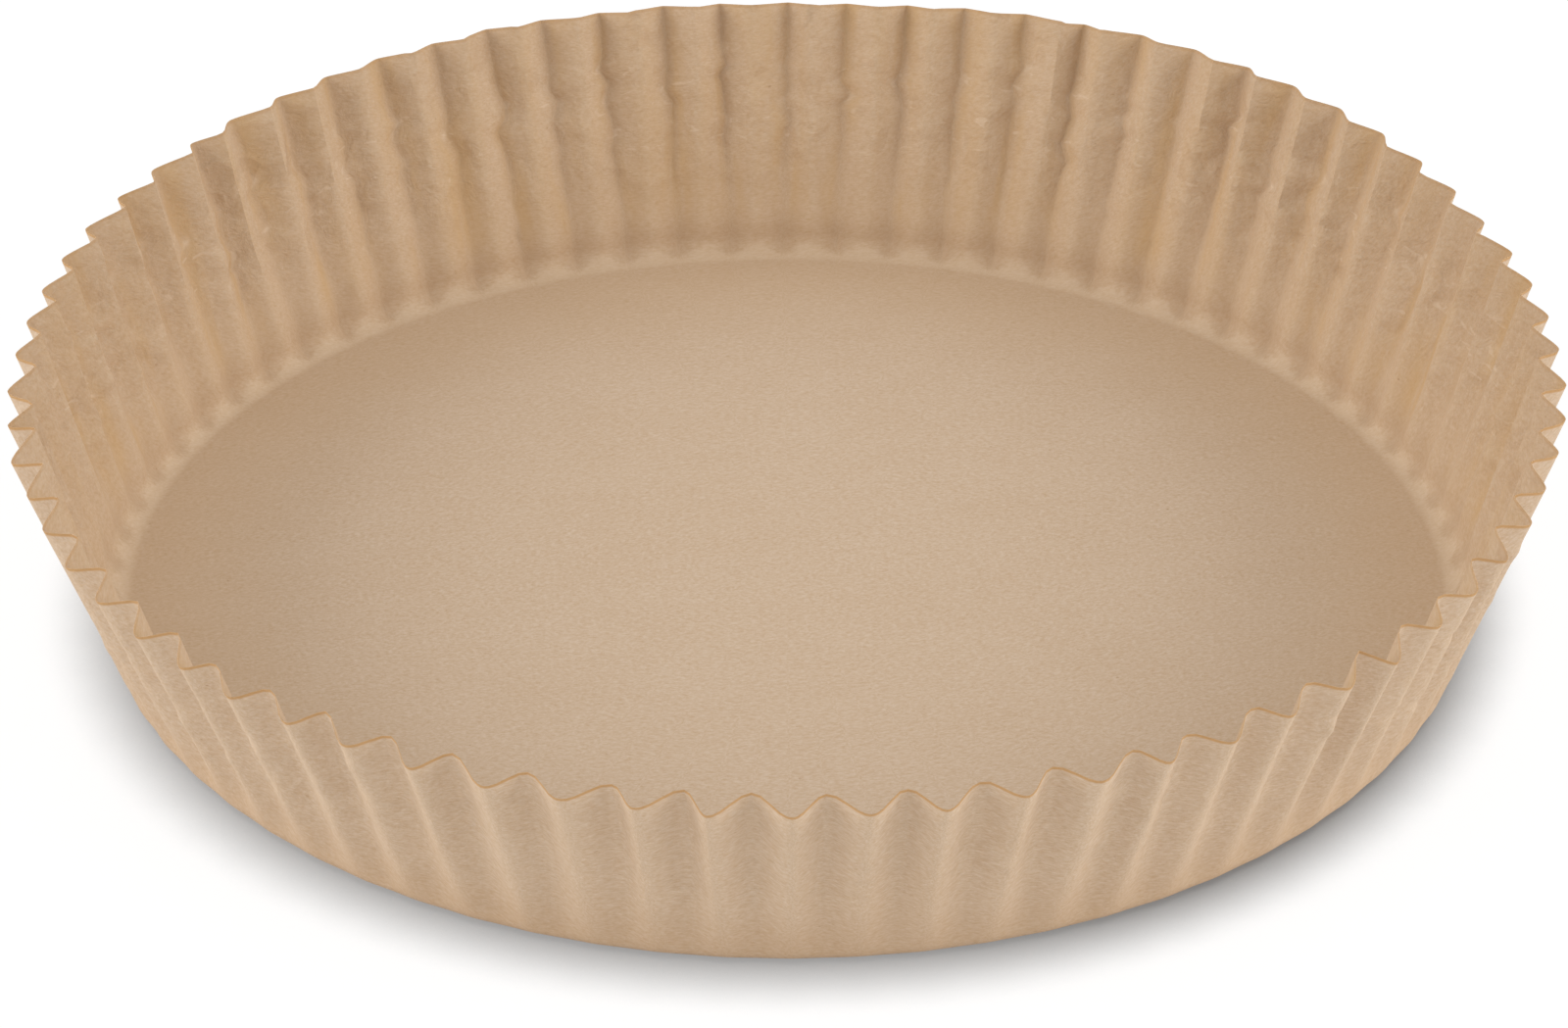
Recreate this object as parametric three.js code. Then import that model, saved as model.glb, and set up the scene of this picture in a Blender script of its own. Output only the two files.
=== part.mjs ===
// Round paper liner for an air fryer basket. One disc of baking parchment is pressed into a dish with a
// flat floor, and the spare paper of the disc is gathered into pleats all round the wall.
// Millimetres, +Z up, origin at the centre of the floor's underside.

import * as THREE from "three";

// Driving dimensions
const RIM_RADIUS = 135; // to the outer folds, at the cut edge
const WALL_HEIGHT = 43.6; // of the outer folds, at the cut edge
const FLOOR_RADIUS = 114.7; // of the flat floor, to where it starts to turn up
const CORNER_RADIUS = 5.6; // of the turn from the floor into the wall
const PAPER_THICKNESS = 0.12;
const PLEAT_COUNT = 72;
const PLEAT_SETTLING = 0.97; // depth of a pleat, as a share of what taut flat flanks would give
const INNER_FOLD_ANGLE = 64; // degrees, near 0 for the roundest inner folds and 90 for sharp ones
const FIRST_FOLD_ANGLE = 190.3; // degrees from +X to an outer fold

// Fineness of the mesh
const COLUMNS_PER_PLEAT = 6;
const CORNER_ROWS = 2;
const WALL_ROWS = 3;

// The wall seen in section: an arc from the floor, then a straight slant that is tangent to the arc and
// ends at the rim.
const cornerToRim = {
  across: RIM_RADIUS - FLOOR_RADIUS,
  up: WALL_HEIGHT - CORNER_RADIUS,
};
const slantLength = Math.sqrt(
  cornerToRim.across ** 2 + cornerToRim.up ** 2 - CORNER_RADIUS ** 2,
);
const slantAngle =
  Math.atan2(cornerToRim.up, cornerToRim.across) + Math.atan2(CORNER_RADIUS, slantLength);
const cornerLength = CORNER_RADIUS * slantAngle;

// The outer folds' line at a distance along the paper from the floor's edge, with its slope.
function sectionAt(distance) {
  const slope = Math.min(distance / CORNER_RADIUS, slantAngle);
  const onSlant = Math.max(distance - cornerLength, 0);
  return {
    radius: FLOOR_RADIUS + CORNER_RADIUS * Math.sin(slope) + onSlant * Math.cos(slope),
    height: CORNER_RADIUS * (1 - Math.cos(slope)) + onSlant * Math.sin(slope),
    slope,
  };
}

// A ring of the flat disc keeps its length when the wall stands up, so what the smaller ring of the wall
// can't take goes into the depth of its pleats.
function pleatDepth(distance) {
  const flank = (Math.PI * (FLOOR_RADIUS + distance)) / PLEAT_COUNT;
  const halfPitch = (Math.PI * sectionAt(distance).radius) / PLEAT_COUNT;
  return PLEAT_SETTLING * Math.sqrt(Math.max(flank ** 2 - halfPitch ** 2, 0));
}

// How far in the paper lies at a place in its pleat, from 0 at an outer fold to 1 at an inner one. The
// outer folds are sharp, and the inner ones between them are round.
function foldShare(turn) {
  const sharpness = THREE.MathUtils.degToRad(INNER_FOLD_ANGLE);
  return Math.asin(Math.sin(sharpness) * Math.abs(Math.sin(Math.PI * turn))) / sharpness;
}

// A point on the paper's outer side. Turn counts in pleats, with an outer fold at each whole number.
function outerPoint(distance, turn) {
  const { radius, height, slope } = sectionAt(distance);
  const inward = pleatDepth(distance) * foldShare(turn);
  const angle = THREE.MathUtils.degToRad(FIRST_FOLD_ANGLE) + (2 * Math.PI * turn) / PLEAT_COUNT;
  const reach = radius - inward * Math.sin(slope);
  return new THREE.Vector3(
    reach * Math.cos(angle),
    reach * Math.sin(angle),
    height + inward * Math.cos(slope),
  );
}

// The same point on the paper's inner side, a thickness away from the faces to the left and right of it.
function innerPoint(distance, turn) {
  const step = 1 / COLUMNS_PER_PLEAT;
  const here = outerPoint(distance, turn);
  const before = outerPoint(distance, turn - step);
  const after = outerPoint(distance, turn + step);
  const upward = outerPoint(distance + PAPER_THICKNESS, turn).sub(here);
  const normalOf = (from, to) => to.clone().sub(from).cross(upward).negate().normalize();
  const normal = normalOf(before, after);
  const mitre = normal.dot(normalOf(here, after));
  return here.addScaledVector(normal, PAPER_THICKNESS / mitre);
}

function rowDistances() {
  const rows = [0];
  for (let i = 1; i <= CORNER_ROWS; i++) rows.push((cornerLength * i) / CORNER_ROWS);
  for (let i = 1; i <= WALL_ROWS; i++) rows.push(cornerLength + (slantLength * i) / WALL_ROWS);
  return rows;
}

function linerGeometry() {
  const rows = rowDistances();
  const columns = PLEAT_COUNT * COLUMNS_PER_PLEAT;
  const positions = [];
  const faces = [];

  for (const pointOn of [outerPoint, innerPoint]) {
    for (const distance of rows) {
      for (let c = 0; c < columns; c++) {
        positions.push(...pointOn(distance, c / COLUMNS_PER_PLEAT).toArray());
      }
    }
  }
  const vertex = (side, row, column) => (side * rows.length + row) * columns + (column % columns);
  const quad = (a, b, c, d) => faces.push(a, b, c, a, c, d);

  // A panel is a little twisted, so both sides of the paper are split along the same diagonal of it, which
  // is mirrored from one flank of a pleat to the other.
  const panel = (row, c) => {
    const corners = (side) => [
      vertex(side, row, c),
      vertex(side, row, c + 1),
      vertex(side, row + 1, c + 1),
      vertex(side, row + 1, c),
    ];
    const [outerA, outerB, outerC, outerD] = corners(0);
    const [innerA, innerB, innerC, innerD] = corners(1);
    if (c % COLUMNS_PER_PLEAT < COLUMNS_PER_PLEAT / 2) {
      quad(outerA, outerB, outerC, outerD);
      quad(innerA, innerD, innerC, innerB);
    } else {
      quad(outerB, outerC, outerD, outerA);
      quad(innerB, innerA, innerD, innerC);
    }
  };

  const underFloor = positions.length / 3;
  const overFloor = underFloor + 1;
  positions.push(0, 0, 0, 0, 0, PAPER_THICKNESS);

  const rim = rows.length - 1;
  for (let c = 0; c < columns; c++) {
    faces.push(underFloor, vertex(0, 0, c + 1), vertex(0, 0, c));
    faces.push(overFloor, vertex(1, 0, c), vertex(1, 0, c + 1));
    for (let row = 0; row < rim; row++) panel(row, c);
    quad(vertex(0, rim, c), vertex(0, rim, c + 1), vertex(1, rim, c + 1), vertex(1, rim, c));
  }

  const geometry = new THREE.BufferGeometry();
  geometry.setAttribute("position", new THREE.Float32BufferAttribute(positions, 3));
  geometry.setIndex(faces);
  geometry.computeVertexNormals();
  return geometry;
}

const parchment = new THREE.MeshStandardMaterial({
  color: "#cfae84",
  roughness: 0.85,
  metalness: 0,
});

const liner = new THREE.Mesh(linerGeometry(), parchment);
liner.name = "pleated_liner";

const part = new THREE.Group();
part.add(liner);

export default part;
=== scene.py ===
"""Looks of a round air fryer paper liner: unbleached baking parchment pressed into a pleated dish.

Blender works in metres. The paper's own sizes are named in millimetres, as a maker would measure them.
"""

import math

import bpy
import numpy as np
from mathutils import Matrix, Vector


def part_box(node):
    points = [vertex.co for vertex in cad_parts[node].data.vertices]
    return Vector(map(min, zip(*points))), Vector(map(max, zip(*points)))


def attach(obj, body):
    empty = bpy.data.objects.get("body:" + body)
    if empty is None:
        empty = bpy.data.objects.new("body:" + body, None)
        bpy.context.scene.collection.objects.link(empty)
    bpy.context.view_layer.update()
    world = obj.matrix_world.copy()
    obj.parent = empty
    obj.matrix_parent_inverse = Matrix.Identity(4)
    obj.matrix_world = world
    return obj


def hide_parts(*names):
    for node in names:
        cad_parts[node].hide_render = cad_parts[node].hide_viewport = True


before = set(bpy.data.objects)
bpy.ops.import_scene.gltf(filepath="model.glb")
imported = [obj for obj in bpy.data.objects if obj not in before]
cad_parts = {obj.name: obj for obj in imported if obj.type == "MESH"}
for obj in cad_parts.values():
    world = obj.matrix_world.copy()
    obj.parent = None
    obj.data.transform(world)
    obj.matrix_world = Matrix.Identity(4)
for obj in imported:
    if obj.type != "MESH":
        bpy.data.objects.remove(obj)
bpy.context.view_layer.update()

MM = 0.001
NODE = "pleated_liner"

# The dish, as the solid has it
node_low, node_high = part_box(NODE)
RIM_RADIUS = (node_high[0] - node_low[0]) / 2 / MM
WALL_HEIGHT = 43.6
FLOOR_RADIUS = 114.7
CORNER_RADIUS = 5.6
PAPER_THICKNESS = 0.12
PLEAT_COUNT = 72
PLEAT_SETTLING = 0.97
FIRST_FOLD_ANGLE = math.radians(190.3)

# How this dish came out of the press and the box. A place on the wall is a distance along the paper from
# the floor's edge.
RIM_LENGTHENING = 2.1  # the rim is longer front to back and narrower across by this
RIM_SKEW = 0.34  # and by this along the diagonals
RIM_RISE_TO_BACK = 0.0225  # slope of the rim's plane
RIM_RISE_TO_RIGHT = 0.0023
RIM_WAVES = ((90, 19, -1.6), (48, 22, 1.2))  # place and spread in degrees, and rise off that plane
FLANK_STRAIGHTNESS = 0.965  # 1 for flat flanks
SIDES_DEEPER = 0.15  # the share by which the pleats at the left and right are deeper
POCKET_DEPTH = 0.8  # and those of the back low down, where it was pushed in
HOLLOW_DEPTH = 0.6  # where a pleat of the back runs out above the corner
CREASE_HEIGHT = 0.12  # how far an outer fold stands out as a sharp line
KINK_BANDS = ((34, 41, 0.09), (27, 34, 0.08), (17, 27, 0.035))  # lowest and highest place, swerve in pleats
DENT_COUNT = 560
DENT_PLACE = 29
DENT_SCATTER = 7
DENT_DEPTH = 0.3

# Fineness of the sheet. Columns crowd at the folds, where the paper bends sharply.
FOLD_COLUMNS = (0.0, 0.06, 0.15, 0.31, 0.54, 0.78)
WALL_ROWS = 45
CORNER_ROWS = 8
FLOOR_RINGS = 3
RING_CROWDING = 0.7  # under 1, the floor's rings crowd towards its edge

# Seen from the photographer's place
CAMERA_DISTANCE = 913.3 * MM
CAMERA_ELEVATION = math.radians(31.54)
CAMERA_AIM = Vector((-0.55, 0, 11.3)) * MM
CAMERA_LENS = 118.9
CAMERA_SENSOR = 36

# Studio
TENT_STRENGTH = 0.68
BOX_SIZE = 0.8
BOX_OUT = 1.2
BOX_UP = 0.6
SIDE_BOX_Y = 0.05
FRONT_BOX_Y = -0.6
SIDE_POWER = 4.9
FRONT_POWER = 5.2
FLOOR_SIZE = 8
FLOOR_WHITE = 0.97
FLOOR_GLOW = 0.8  # the share of the floor's white that only the camera sees
SHADOW_REACH = 16 * MM
SHADOW_SAMPLES = 24
SHADOW_LEAST = 0.37  # of the floor's glow, close under the dish
SHADOW_GAIN = 0.7  # what is added to it in the open
SHADOW_TO_RIGHT = 0.23  # how much deeper the shadow is at the right
WHITE = (1, 1, 1, 1)

draw = np.random.default_rng(72)

slant_across = RIM_RADIUS - FLOOR_RADIUS
slant_up = WALL_HEIGHT - CORNER_RADIUS
SLANT_LENGTH = math.sqrt(slant_across**2 + slant_up**2 - CORNER_RADIUS**2)
SLANT_ANGLE = math.atan2(slant_up, slant_across) + math.atan2(CORNER_RADIUS, SLANT_LENGTH)
CORNER_LENGTH = CORNER_RADIUS * SLANT_ANGLE
WALL_LENGTH = CORNER_LENGTH + SLANT_LENGTH


# Small helpers


def deselect_all():
    if bpy.context.object and bpy.context.object.mode != "OBJECT":
        bpy.ops.object.mode_set(mode="OBJECT")
    bpy.ops.object.select_all(action="DESELECT")


def make_active(piece):
    deselect_all()
    piece.select_set(True)
    bpy.context.view_layer.objects.active = piece


def point_array(mesh):
    flat = np.empty(len(mesh.vertices) * 3)
    mesh.vertices.foreach_get("co", flat)
    return flat.reshape(-1, 3)


def add_attribute(mesh, name, values):
    layer = mesh.attributes.new(name, "FLOAT", "POINT")
    layer.data.foreach_set("value", np.ascontiguousarray(values, dtype=np.float32))


def smoothstep(low, high, x):
    """0 up to low, 1 from high on and smooth between them."""
    t = np.clip((x - low) / (high - low), 0, 1)
    return t * t * (3 - 2 * t)


# The flat blank


def cut_blank():
    """A flat disc of paper, ring by ring, with its columns where the folds will come."""
    columns = PLEAT_COUNT * 2 * len(FOLD_COLUMNS)
    floor_rings = [FLOOR_RADIUS * (i / FLOOR_RINGS) ** RING_CROWDING for i in range(1, FLOOR_RINGS + 1)]
    corner_rings = [FLOOR_RADIUS + CORNER_LENGTH * i / CORNER_ROWS for i in range(1, CORNER_ROWS + 1)]
    wall_start = FLOOR_RADIUS + CORNER_LENGTH
    wall_rings = [wall_start + SLANT_LENGTH * i / WALL_ROWS for i in range(1, WALL_ROWS + 1)]
    rings = floor_rings + corner_rings + wall_rings

    deselect_all()
    bpy.ops.mesh.primitive_circle_add(vertices=columns, radius=rings[0] * MM, fill_type="TRIFAN")
    blank = bpy.context.object
    blank.name = "parchment_dish"
    bpy.ops.object.mode_set(mode="EDIT")
    bpy.ops.mesh.select_mode(type="EDGE")
    bpy.ops.mesh.select_all(action="DESELECT")
    bpy.ops.mesh.select_non_manifold()
    for inner, outer in zip(rings, rings[1:]):
        grow = outer / inner
        bpy.ops.mesh.extrude_edges_move()
        bpy.ops.transform.resize(value=(grow, grow, 1), center_override=(0, 0, 0))
    bpy.ops.mesh.select_all(action="SELECT")
    bpy.ops.mesh.normals_make_consistent(inside=False)
    bpy.ops.object.mode_set(mode="OBJECT")
    return blank


def fold_places(angle):
    """Each point's place among the folds, in pleats: crowds the even columns towards the outer folds."""
    columns_per_half = len(FOLD_COLUMNS)
    pleats = (angle / (2 * math.pi) * PLEAT_COUNT) % PLEAT_COUNT
    column = np.round(pleats * 2 * columns_per_half).astype(int)
    pleat, step = np.divmod(column, 2 * columns_per_half)
    half = np.array([*FOLD_COLUMNS, 1.0]) / 2
    within = np.where(step <= columns_per_half, half[np.minimum(step, columns_per_half)],
                      1 - half[np.clip(2 * columns_per_half - step, 0, columns_per_half)])
    return pleat % PLEAT_COUNT + within


# Pressing it into a dish


def section(distance):
    """Radius, height and slope of the outer folds' line at a distance from the floor's edge."""
    slope = np.clip(distance / CORNER_RADIUS, 0, SLANT_ANGLE)
    on_slant = np.maximum(distance - CORNER_LENGTH, 0)
    on_floor = np.minimum(distance, 0)
    radius = FLOOR_RADIUS + on_floor + CORNER_RADIUS * np.sin(slope) + on_slant * np.cos(slope)
    height = CORNER_RADIUS * (1 - np.cos(slope)) + on_slant * np.sin(slope)
    return radius, height, slope


def pleat_depth(distance):
    """How deep the pleats are for the spare paper to go into them."""
    along = np.maximum(distance, 0)
    flank = math.pi * (FLOOR_RADIUS + along) / PLEAT_COUNT
    half_pitch = math.pi * section(along)[0] / PLEAT_COUNT
    return PLEAT_SETTLING * np.sqrt(np.maximum(flank**2 - half_pitch**2, 0))


def share_of_fold(across, bend, roundness):
    """From 0 at an outer fold to 1 at an inner one.

    The outer fold is a tight bend, and with roundness 1 the pleat is one round wave instead.
    """
    bent = (np.hypot(across, bend) - bend) / (np.hypot(1, bend) - bend)
    tight = np.arcsin(FLANK_STRAIGHTNESS * np.sin(bent * math.pi / 2)) / math.asin(FLANK_STRAIGHTNESS)
    wave = (1 - np.cos(across * math.pi)) / 2
    return tight + (wave - tight) * roundness


def kinks(distance, side, pleat):
    """Where the paper buckled as it was pressed, an outer fold swerves and is pinched beside the swerve.

    Gives how far it swerves sideways, in pleats, and how hard the paper is pinched.
    """
    shift = np.zeros_like(distance)
    pinched = np.zeros_like(distance)
    for low, high, size in KINK_BANDS:
        place = draw.uniform(low, high, PLEAT_COUNT)[pleat]
        way = draw.choice((-1, 1), PLEAT_COUNT)[pleat]
        amount = size * draw.uniform(0.3, 1.6, PLEAT_COUNT)[pleat]
        reach = draw.uniform(0.9, 2.2, PLEAT_COUNT)[pleat]
        off = (distance - place) / reach
        shift += way * amount * (np.exp(-np.abs(off)) - 0.8 * np.exp(-np.abs(off + 1.9)))
        beside = side * way
        hook = np.exp(-(((beside - 0.05) / 0.05) ** 2) - ((distance - place) / 0.8) ** 2)
        line = np.exp(-(((distance - place - 3 * beside) / 0.6) ** 2)) * smoothstep(0.04, 0.1, beside)
        line *= 1 - smoothstep(0.18, 0.42, beside)
        pinched += amount / 0.14 * (hook + 0.4 * line)
    return shift, np.clip(pinched, 0, 1)


def press(blank):
    """Moves each point of the flat disc to where the press folds it."""
    mesh = blank.data
    flat = point_array(mesh) / MM
    ring = np.hypot(flat[:, 0], flat[:, 1])
    turn = fold_places(np.arctan2(flat[:, 1], flat[:, 0]))
    distance = ring - FLOOR_RADIUS
    up_wall = np.clip(distance / WALL_LENGTH, 0, 1)

    outer = np.round(turn).astype(int)
    side = turn - outer
    across = np.clip(2 * np.abs(side), 0, 1)
    inner = np.floor(turn).astype(int) % PLEAT_COUNT
    outer %= PLEAT_COUNT

    # No two pleats are alike: the folds stand a little off their even places, deeper or shallower.
    outer_off = draw.normal(0, 0.035, PLEAT_COUNT)[outer]
    inner_off = draw.normal(0, 0.06, PLEAT_COUNT)[inner]
    outer_out = draw.normal(0, 0.18, PLEAT_COUNT)[outer]
    inner_in = draw.normal(1.0, 0.06, PLEAT_COUNT)[inner]
    roundness = draw.uniform(0.0, 0.15, PLEAT_COUNT)[outer]
    trimming = draw.normal(0, 0.12, PLEAT_COUNT)[outer]

    # The pleats towards +Y are creased hard and start sharply. Handling has opened those towards -Y into
    # rounder ones.
    even_angle = FIRST_FOLD_ANGLE + 2 * math.pi * turn / PLEAT_COUNT
    to_back = np.sin(even_angle)
    opened = smoothstep(0.1, 0.9, -to_back)
    at_back = smoothstep(-0.15, 0.5, to_back)
    at_sides = np.cos(even_angle) ** 2

    radius, height, slope = section(distance)
    pocket = POCKET_DEPTH * np.exp(-(((distance - 7.5) / 4.2) ** 2)) * at_back
    depth = pleat_depth(distance) * (1 + pocket + SIDES_DEEPER * at_sides)
    full_at = 7 - 3.2 * at_back + 7 * at_sides * (1 - at_back)
    depth *= smoothstep(2 - 1.6 * at_back, full_at, distance)
    softness = roundness + 0.95 * opened + 0.6 * (1 - smoothstep(3, 27, distance))
    bend = 0.04 + 0.3 * at_sides
    share = share_of_fold(across, bend, np.clip(softness, 0, 1))
    settled = smoothstep(4, 30, distance)
    crease = np.exp(-((across / 0.12) ** 2)) * CREASE_HEIGHT * smoothstep(8, 24, distance)
    crease *= (1 - opened) * (1 - at_sides)
    hollow = HOLLOW_DEPTH * np.exp(-(((distance - 5) / 2.2) ** 2)) * (1 - across) ** 2
    hollow *= smoothstep(0.05, 0.5, to_back)
    inward = depth * share * (1 + (inner_in - 1) * settled) + outer_out * settled * (1 - across)
    inward -= crease + hollow

    sideways = (outer_off * (1 - across) + inner_off * across) * settled
    swerve, pinched = kinks(distance, side, outer)
    buckled = 1 - smoothstep(-0.05, 0.4, -to_back)
    sideways += swerve * (1 - across) * smoothstep(8, 16, distance) * (0.1 + 0.9 * buckled)
    pinched *= buckled
    angle = FIRST_FOLD_ANGLE + 2 * math.pi * (turn + sideways) / PLEAT_COUNT

    reach = radius - inward * np.sin(slope)
    reach -= (RIM_LENGTHENING * np.cos(2 * angle) - RIM_SKEW * np.sin(2 * angle)) * up_wall
    rise = np.maximum(height + inward * np.cos(slope), 0) + trimming * up_wall
    x = reach * np.cos(angle)
    y = reach * np.sin(angle)
    rise += (RIM_RISE_TO_BACK * y + RIM_RISE_TO_RIGHT * x) * up_wall
    for middle, spread, amount in RIM_WAVES:
        off = (np.degrees(angle) - middle + 180) % 360 - 180
        rise += amount * np.exp(-((off / spread) ** 2)) * up_wall

    # Small dents beside the folds, where the paper was handled.
    for _ in range(DENT_COUNT):
        where = draw.uniform(0, PLEAT_COUNT)
        high = draw.normal(DENT_PLACE, DENT_SCATTER)
        wide = draw.uniform(0.07, 0.17)
        tall = draw.uniform(0.7, 1.9)
        deep = draw.normal(0, DENT_DEPTH)
        gap = (turn - where + PLEAT_COUNT / 2) % PLEAT_COUNT - PLEAT_COUNT / 2
        dent = deep * np.exp(-((gap / wide) ** 2) - ((distance - high) / tall) ** 2)
        x += dent * np.cos(angle)
        y += dent * np.sin(angle)

    pressed = np.stack([x, y, rise], axis=1) * MM
    mesh.vertices.foreach_set("co", pressed.ravel())
    add_attribute(mesh, "across_fold", across)
    add_attribute(mesh, "up_wall", up_wall)
    add_attribute(mesh, "turn", turn)
    add_attribute(mesh, "pinched", pinched)
    add_attribute(mesh, "ring", ring)
    add_attribute(mesh, "blank_x", flat[:, 0])
    add_attribute(mesh, "blank_y", flat[:, 1])
    mesh.update()


def give_thickness(sheet):
    """Makes the sheet solid outwards and marks the points of its inner side."""
    inner_points = len(sheet.data.vertices)
    wall = sheet.modifiers.new("paper", "SOLIDIFY")
    wall.thickness = PAPER_THICKNESS * MM
    wall.offset = 1
    wall.use_even_offset = True
    make_active(sheet)
    bpy.ops.object.modifier_apply(modifier=wall.name)
    on_inside = np.arange(len(sheet.data.vertices)) < inner_points
    add_attribute(sheet.data, "inner_side", on_inside)
    bpy.ops.object.shade_smooth_by_angle(angle=math.radians(50))


# Shader maths


class Value:
    """A socket in a node tree, so that shader maths reads as plain expressions."""

    def __init__(self, nodes, socket):
        self.nodes = nodes
        self.socket = socket

    def _math(self, operation, other, clamp=False):
        return self.nodes.node("ShaderNodeMath", {"operation": operation, "use_clamp": clamp},
                               {0: self, 1: other})

    def __add__(self, other):
        return self._math("ADD", other)

    __radd__ = __add__

    def __sub__(self, other):
        return self._math("SUBTRACT", other)

    def __rsub__(self, other):
        return self * -1 + other

    def __mul__(self, other):
        return self._math("MULTIPLY", other)

    __rmul__ = __mul__

    def clamped(self):
        return self._math("ADD", 0.0, clamp=True)

    def between(self, low, high):
        """0 below low, 1 above high and smooth between them."""
        return self.nodes.node("ShaderNodeMapRange", {"interpolation_type": "SMOOTHSTEP"},
                               {"Value": self, "From Min": low, "From Max": high})


class Nodes:
    """The node tree of a material or the world, made by one method."""

    def __init__(self, owner):
        owner.use_nodes = True
        self.tree = owner.node_tree
        self.tree.nodes.clear()

    def node(self, kind, settings=None, inputs=None, output=0):
        made = self.tree.nodes.new(kind)
        for key, value in (settings or {}).items():
            setattr(made, key, value)
        for key, value in (inputs or {}).items():
            if isinstance(value, Value):
                self.tree.links.new(value.socket, made.inputs[key])
            else:
                made.inputs[key].default_value = value
        return Value(self, made.outputs[output]) if made.outputs else None

    def attribute(self, name):
        return self.node("ShaderNodeAttribute", {"attribute_name": name}, output="Fac")

    def noise(self, vector, scale, detail=3, roughness=0.5, distortion=0.0):
        return self.node("ShaderNodeTexNoise", {},
                         {"Vector": vector, "Scale": scale, "Detail": detail,
                          "Roughness": roughness, "Distortion": distortion})

    def mix(self, factor, a, b):
        return self.node("ShaderNodeMix", {"data_type": "RGBA"}, {0: factor, 6: a, 7: b}, output=2)

    def vector(self, x, y, z):
        return self.node("ShaderNodeCombineXYZ", {}, {"X": x, "Y": y, "Z": z})

    def looked_at(self):
        """1 where the camera looks, straight or by a reflection or through glass, and 0 for the light."""
        rays = [self.node("ShaderNodeLightPath", output=f"Is {kind} Ray")
                for kind in ("Camera", "Glossy", "Transmission")]
        return sum(rays[1:], rays[0]).clamped()


def srgb(red, green, blue):
    """The linear colour of an sRGB one that is given from 0 to 255."""
    def linear(c):
        c /= 255
        return c / 12.92 if c <= 0.04045 else ((c + 0.055) / 1.055) ** 2.4

    return (linear(red), linear(green), linear(blue), 1)


# The paper's look

PALE_FIBRE = srgb(209, 188, 165)
TAN_FIBRE = srgb(192, 164, 134)
NEAR_WALL_BROWN = srgb(191, 158, 117)
AMBER = srgb(196, 159, 106)
PAINTED_SHADE_BROWN = srgb(150, 112, 76)
LOW_SHADE_BROWN = srgb(178, 143, 104)
PINCH_HIGHLIGHT_PALE = srgb(226, 206, 182)
FLECK_BROWN = srgb(150, 110, 70)
CORNER_HIGHLIGHT_PALE = srgb(220, 199, 172)
EDGE_BROWN = srgb(184, 139, 84)
CRUSHED_TAN = srgb(165, 130, 95)


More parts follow.
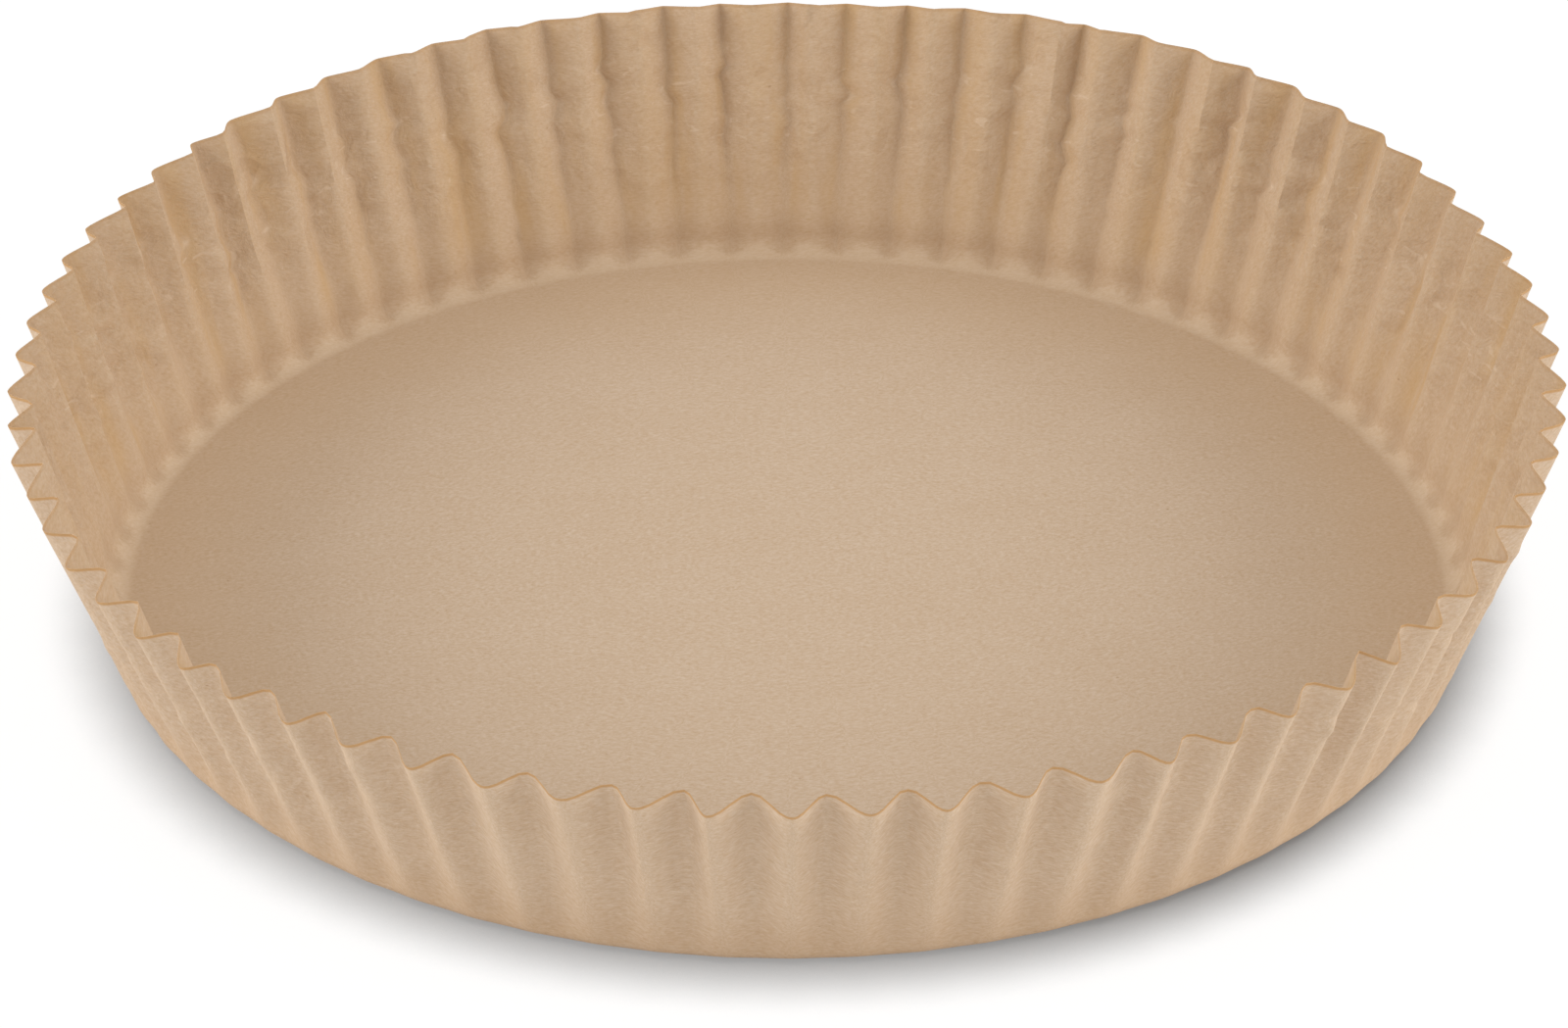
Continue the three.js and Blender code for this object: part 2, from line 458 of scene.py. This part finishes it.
def parchment_finish():
    """Unbleached baking parchment: warm light brown matted fibres, matte, with painted shade in its folds.
    """
    material = bpy.data.materials.new("parchment")
    f = Nodes(material)
    x = f.attribute("blank_x")
    y = f.attribute("blank_y")
    across = f.attribute("across_fold")
    up = f.attribute("up_wall")
    turn = f.attribute("turn")
    inside = f.attribute("inner_side")
    past_floor = f.attribute("ring") - FLOOR_RADIUS

    # Clouds and drifts of paler and darker fibres. The inside of the floor is browner towards the wall.
    cloud = f.noise(f.vector(x, y, 0.0), 0.045)
    drift = f.noise(f.vector(x * 0.3, y, 7.0), 0.12, roughness=0.6)
    mottle = f.noise(f.vector(x * 0.7, y, 3.0), 1.4, roughness=0.7)
    fibre = f.noise(f.vector(x * 0.35, y, 0.0), 3.6, detail=2, roughness=0.7)
    shade = (cloud - 0.5) * 0.25 + (drift - 0.5) * 0.2 + (mottle - 0.5) * 1.6 + (fibre - 0.5) * 1.8
    # The outside is painted a little tanner than the inside, as painted shade.
    colour = f.mix((shade + 0.57 - inside * 0.11).clamped(), PALE_FIBRE, TAN_FIBRE)
    colour = f.mix(past_floor.between(-39.7, 1.3) * inside * 0.3, colour, NEAR_WALL_BROWN)

    # Amber runs down the inside of the flanks beside the outer folds, and painted shade darkens the folds
    # themselves.
    streak = f.noise(f.vector(turn * 1.9, up * 1.3, 3.0), 1.0, roughness=0.55)
    beside_fold = (1 - across).between(0.25, 0.8)
    on_wall = up.between(0.1, 0.3) * inside
    amber = on_wall * (beside_fold * 0.3 + 0.15) * streak.between(0.42, 0.66)
    colour = f.mix(amber, colour, AMBER)
    # Painted shade in the outer folds.
    fold = (1 - across).between(0.6, 1.0) * up.between(0.15, 0.5) * inside
    colour = f.mix(fold * 0.16, colour, PAINTED_SHADE_BROWN)

    # The outside is painted browner low on the wall, as painted shade near the floor.
    painted_shade_low_outside = (1 - up.between(0.03, 0.4)) * past_floor.between(-4.7, 1.3) * (1 - inside)
    colour = f.mix(painted_shade_low_outside * 0.3, colour, LOW_SHADE_BROWN)

    # Painted highlights where the sheet was pinched, pale marks half way up and beside the kinks, and
    # darker flecks.
    pinch_high = up.between(0.4, 0.52) * (1 - up).between(0.12, 0.25)
    pinch = f.noise(f.vector(turn * 3.6, up * 34, 0.0), 1.0, detail=1, roughness=0.4, distortion=0.8)
    pinch_highlight = (pinch.between(0.66, 0.76) * pinch_high * 0.6 + f.attribute("pinched")) * inside
    colour = f.mix((pinch_highlight * 0.5).clamped(), colour, PINCH_HIGHLIGHT_PALE)
    flecks = f.noise(f.vector(x * 0.7, y, 0.0), 1.3, detail=2, roughness=0.4)
    colour = f.mix(flecks.between(0.745, 0.79) * 0.35, colour, FLECK_BROWN)

    # The corner was pressed hard and has a painted highlight along its crest, paler there. Its upper side
    # is scalloped, where painted shade darkens the ends of the pleats as they come down to it.
    # Painted shade at the low ends of the pleats.
    painted_shade_at_pleat_ends = past_floor.between(1.7, 3.7) * (1 - past_floor.between(5.3, 14.3)) * inside
    colour = f.mix(painted_shade_at_pleat_ends * (1 - across).between(0.2, 0.9) * 0.2, colour, PAINTED_SHADE_BROWN)
    # Painted highlight along the corner's crest.
    above = (past_floor - across * 3 + (mottle - 0.5) * 3).between(1.1, 2.7)
    ridge_highlight = past_floor.between(-0.1, 1.5) * (1 - above) * inside
    colour = f.mix(ridge_highlight * 0.2, colour, CORNER_HIGHLIGHT_PALE)

    # The cut edge is browner.
    cut_edge = up.between(0.985, 0.993) * (0.8 - inside * 0.5)
    colour = f.mix(cut_edge, colour, EDGE_BROWN)

    # The wall is crumpled a little, with crisp facets where it was crushed. A few of them are darker.
    crumple = f.noise(f.vector(turn * 4, up * 17, 5.0), 1.0, detail=4, roughness=0.62, distortion=0.6)
    crushed_places = f.vector(turn * 2.6, up * 11, 2.0)
    facets = f.node("ShaderNodeTexVoronoi", {"feature": "F1"},
                    {"Vector": crushed_places, "Scale": 1.0, "Randomness": 1.0})
    crushed = f.noise(f.vector(turn * 0.8, up * 4, 9.0), 1.0, detail=1).between(0.5, 0.66)
    on_pleats = up.between(0.2, 0.5)
    cell = f.node("ShaderNodeTexVoronoi", {"feature": "F1"},
                  {"Vector": crushed_places, "Scale": 1.0, "Randomness": 1.0}, output="Color")
    chance = f.node("ShaderNodeSeparateColor", {}, {"Color": cell}, output="Red")
    colour = f.mix(chance.between(0.95, 0.97) * on_pleats * inside * 0.14, colour, CRUSHED_TAN)
    relief = mottle * 0.3 + fibre * 0.4 + pinch_highlight * 1.2
    relief = relief + on_pleats * (crumple * 11 + facets * crushed * 16) * (inside * 0.5 + 1)
    bump = f.node("ShaderNodeBump", {}, {"Height": relief, "Strength": 0.5, "Distance": 0.05 * MM})
    skin = f.node("ShaderNodeBsdfPrincipled", {}, {"Base Color": colour, "Roughness": 0.85,
                                                   "Specular IOR Level": 0.2, "Normal": bump})
    f.node("ShaderNodeOutputMaterial", {}, {"Surface": skin})
    return material


# Studio


def white_floor():
    """White to the camera, with a soft shadow round the dish that is deeper at the right."""
    deselect_all()
    bpy.ops.mesh.primitive_plane_add(size=FLOOR_SIZE)
    floor = bpy.context.object
    floor.name = "studio_floor"
    material = bpy.data.materials.new("studio_white")
    f = Nodes(material)
    seen = f.looked_at()
    openness = f.node("ShaderNodeAmbientOcclusion", {"samples": SHADOW_SAMPLES},
                      {"Distance": SHADOW_REACH}, output="AO")
    place = f.node("ShaderNodeTexCoord", output="Object")
    x = f.node("ShaderNodeSeparateXYZ", {}, {"Vector": place}, output="X")
    clear = openness.between(0.2, 0.9)
    deeper = (1 - clear) * x.between(0.0, 0.09) * SHADOW_TO_RIGHT
    light = seen * (clear * SHADOW_GAIN + SHADOW_LEAST - deeper) * FLOOR_GLOW
    card = f.node("ShaderNodeBsdfDiffuse", {}, {"Color": FLOOR_WHITE - seen * FLOOR_GLOW})
    glow = f.node("ShaderNodeEmission", {}, {"Color": WHITE, "Strength": light})
    both = f.node("ShaderNodeAddShader", {}, {0: card, 1: glow})
    f.node("ShaderNodeOutputMaterial", {}, {"Surface": both})
    floor.data.materials.append(material)


def soft_box(name, place, power):
    deselect_all()
    bpy.ops.object.light_add(type="AREA", location=place)
    lamp = bpy.context.object
    lamp.name = name
    lamp.data.shape = "SQUARE"
    lamp.data.size = BOX_SIZE
    lamp.data.energy = power
    lamp.rotation_euler = (-Vector(place)).to_track_quat("-Z", "Y").to_euler()
    lamp.visible_camera = False


def studio_light():
    """A white tent that is a little brighter at the left and right, and towards the front."""
    for side, x in (("left", -BOX_OUT), ("right", BOX_OUT)):
        soft_box(side + "_box", (x, SIDE_BOX_Y, BOX_UP), SIDE_POWER)
        soft_box(side + "_front_box", (x, FRONT_BOX_Y, BOX_UP), FRONT_POWER)
    world = bpy.data.worlds.new("studio")
    bpy.context.scene.world = world
    f = Nodes(world)
    tent = f.node("ShaderNodeBackground", {}, {"Color": WHITE, "Strength": TENT_STRENGTH})
    backdrop = f.node("ShaderNodeBackground", {}, {"Color": WHITE, "Strength": 1.0})
    light = f.node("ShaderNodeMixShader", {}, {0: f.looked_at(), 1: tent, 2: backdrop})
    f.node("ShaderNodeOutputWorld", {}, {"Surface": light})


def camera():
    back = Vector((0, -math.cos(CAMERA_ELEVATION), math.sin(CAMERA_ELEVATION)))
    place = back * CAMERA_DISTANCE
    deselect_all()
    bpy.ops.object.camera_add(location=place)
    cam = bpy.context.object
    cam.rotation_euler = (CAMERA_AIM - place).to_track_quat("-Z", "Y").to_euler()
    cam.data.lens = CAMERA_LENS
    cam.data.sensor_width = CAMERA_SENSOR
    bpy.context.scene.camera = cam


camera()
dish = cut_blank()
press(dish)
give_thickness(dish)
dish.data.materials.clear()
dish.data.materials.append(parchment_finish())
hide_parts(NODE)
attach(dish, "root")

white_floor()
studio_light()
bpy.context.scene.view_settings.view_transform = "Standard"
